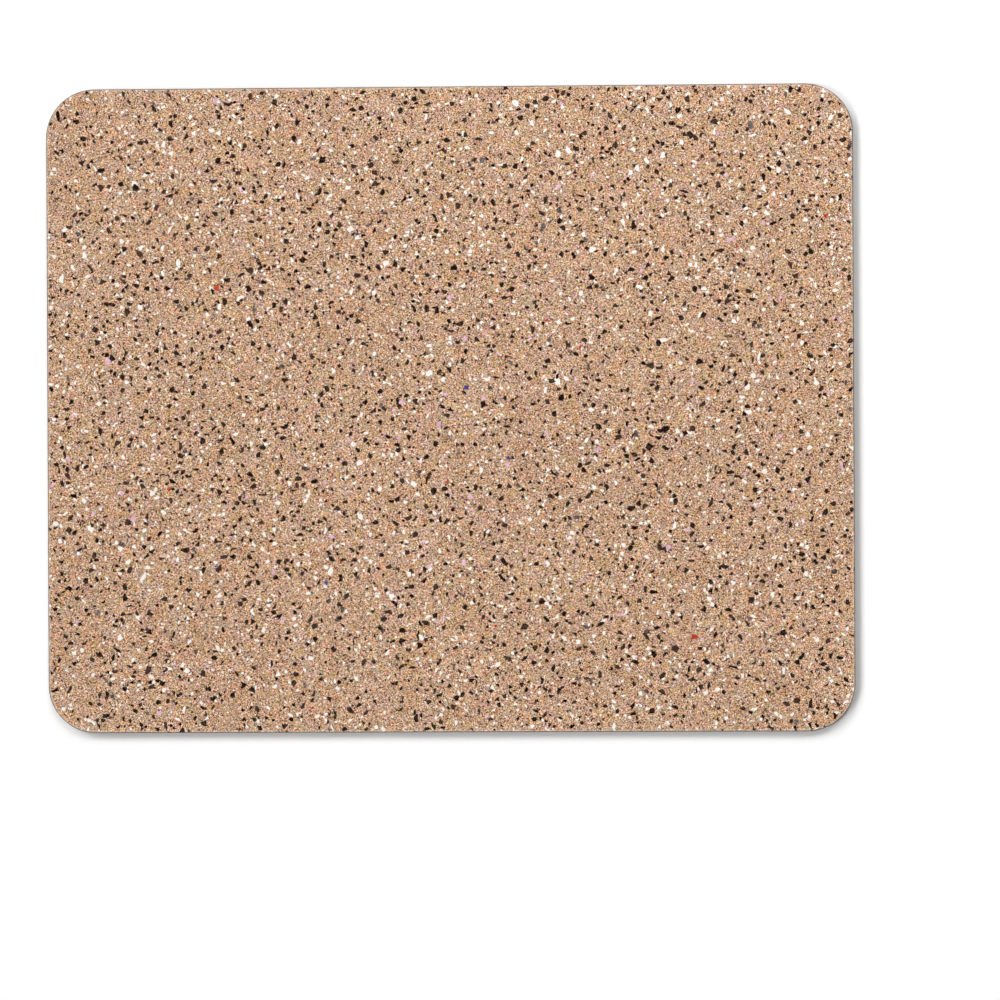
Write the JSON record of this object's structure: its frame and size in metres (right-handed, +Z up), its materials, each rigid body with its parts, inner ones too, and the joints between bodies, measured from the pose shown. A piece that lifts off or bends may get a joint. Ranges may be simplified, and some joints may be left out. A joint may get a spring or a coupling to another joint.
{
  "type": "mouse pad",
  "caption": "Flat rectangular mouse pad with rounded corners: a speckled granulated cork sheet laminated to a thin non-slip rubber base.",
  "frame": {"origin": "middle of the underside, on the desk", "axes": "+X along the long side to the user's right, +Y towards the far long edge, +Z up out of the cork face"},
  "size_m": [0.25, 0.2, 0.003],
  "materials": {
    "granulated_cork": "matte",
    "laminating_adhesive": "satin",
    "non_slip_rubber": "matte"
  },
  "bodies": {
    "root": {"cork_sheet": "granulated_cork", "glue_film": "laminating_adhesive", "rubber_base": "non_slip_rubber"}
  },
  "joints": []
}
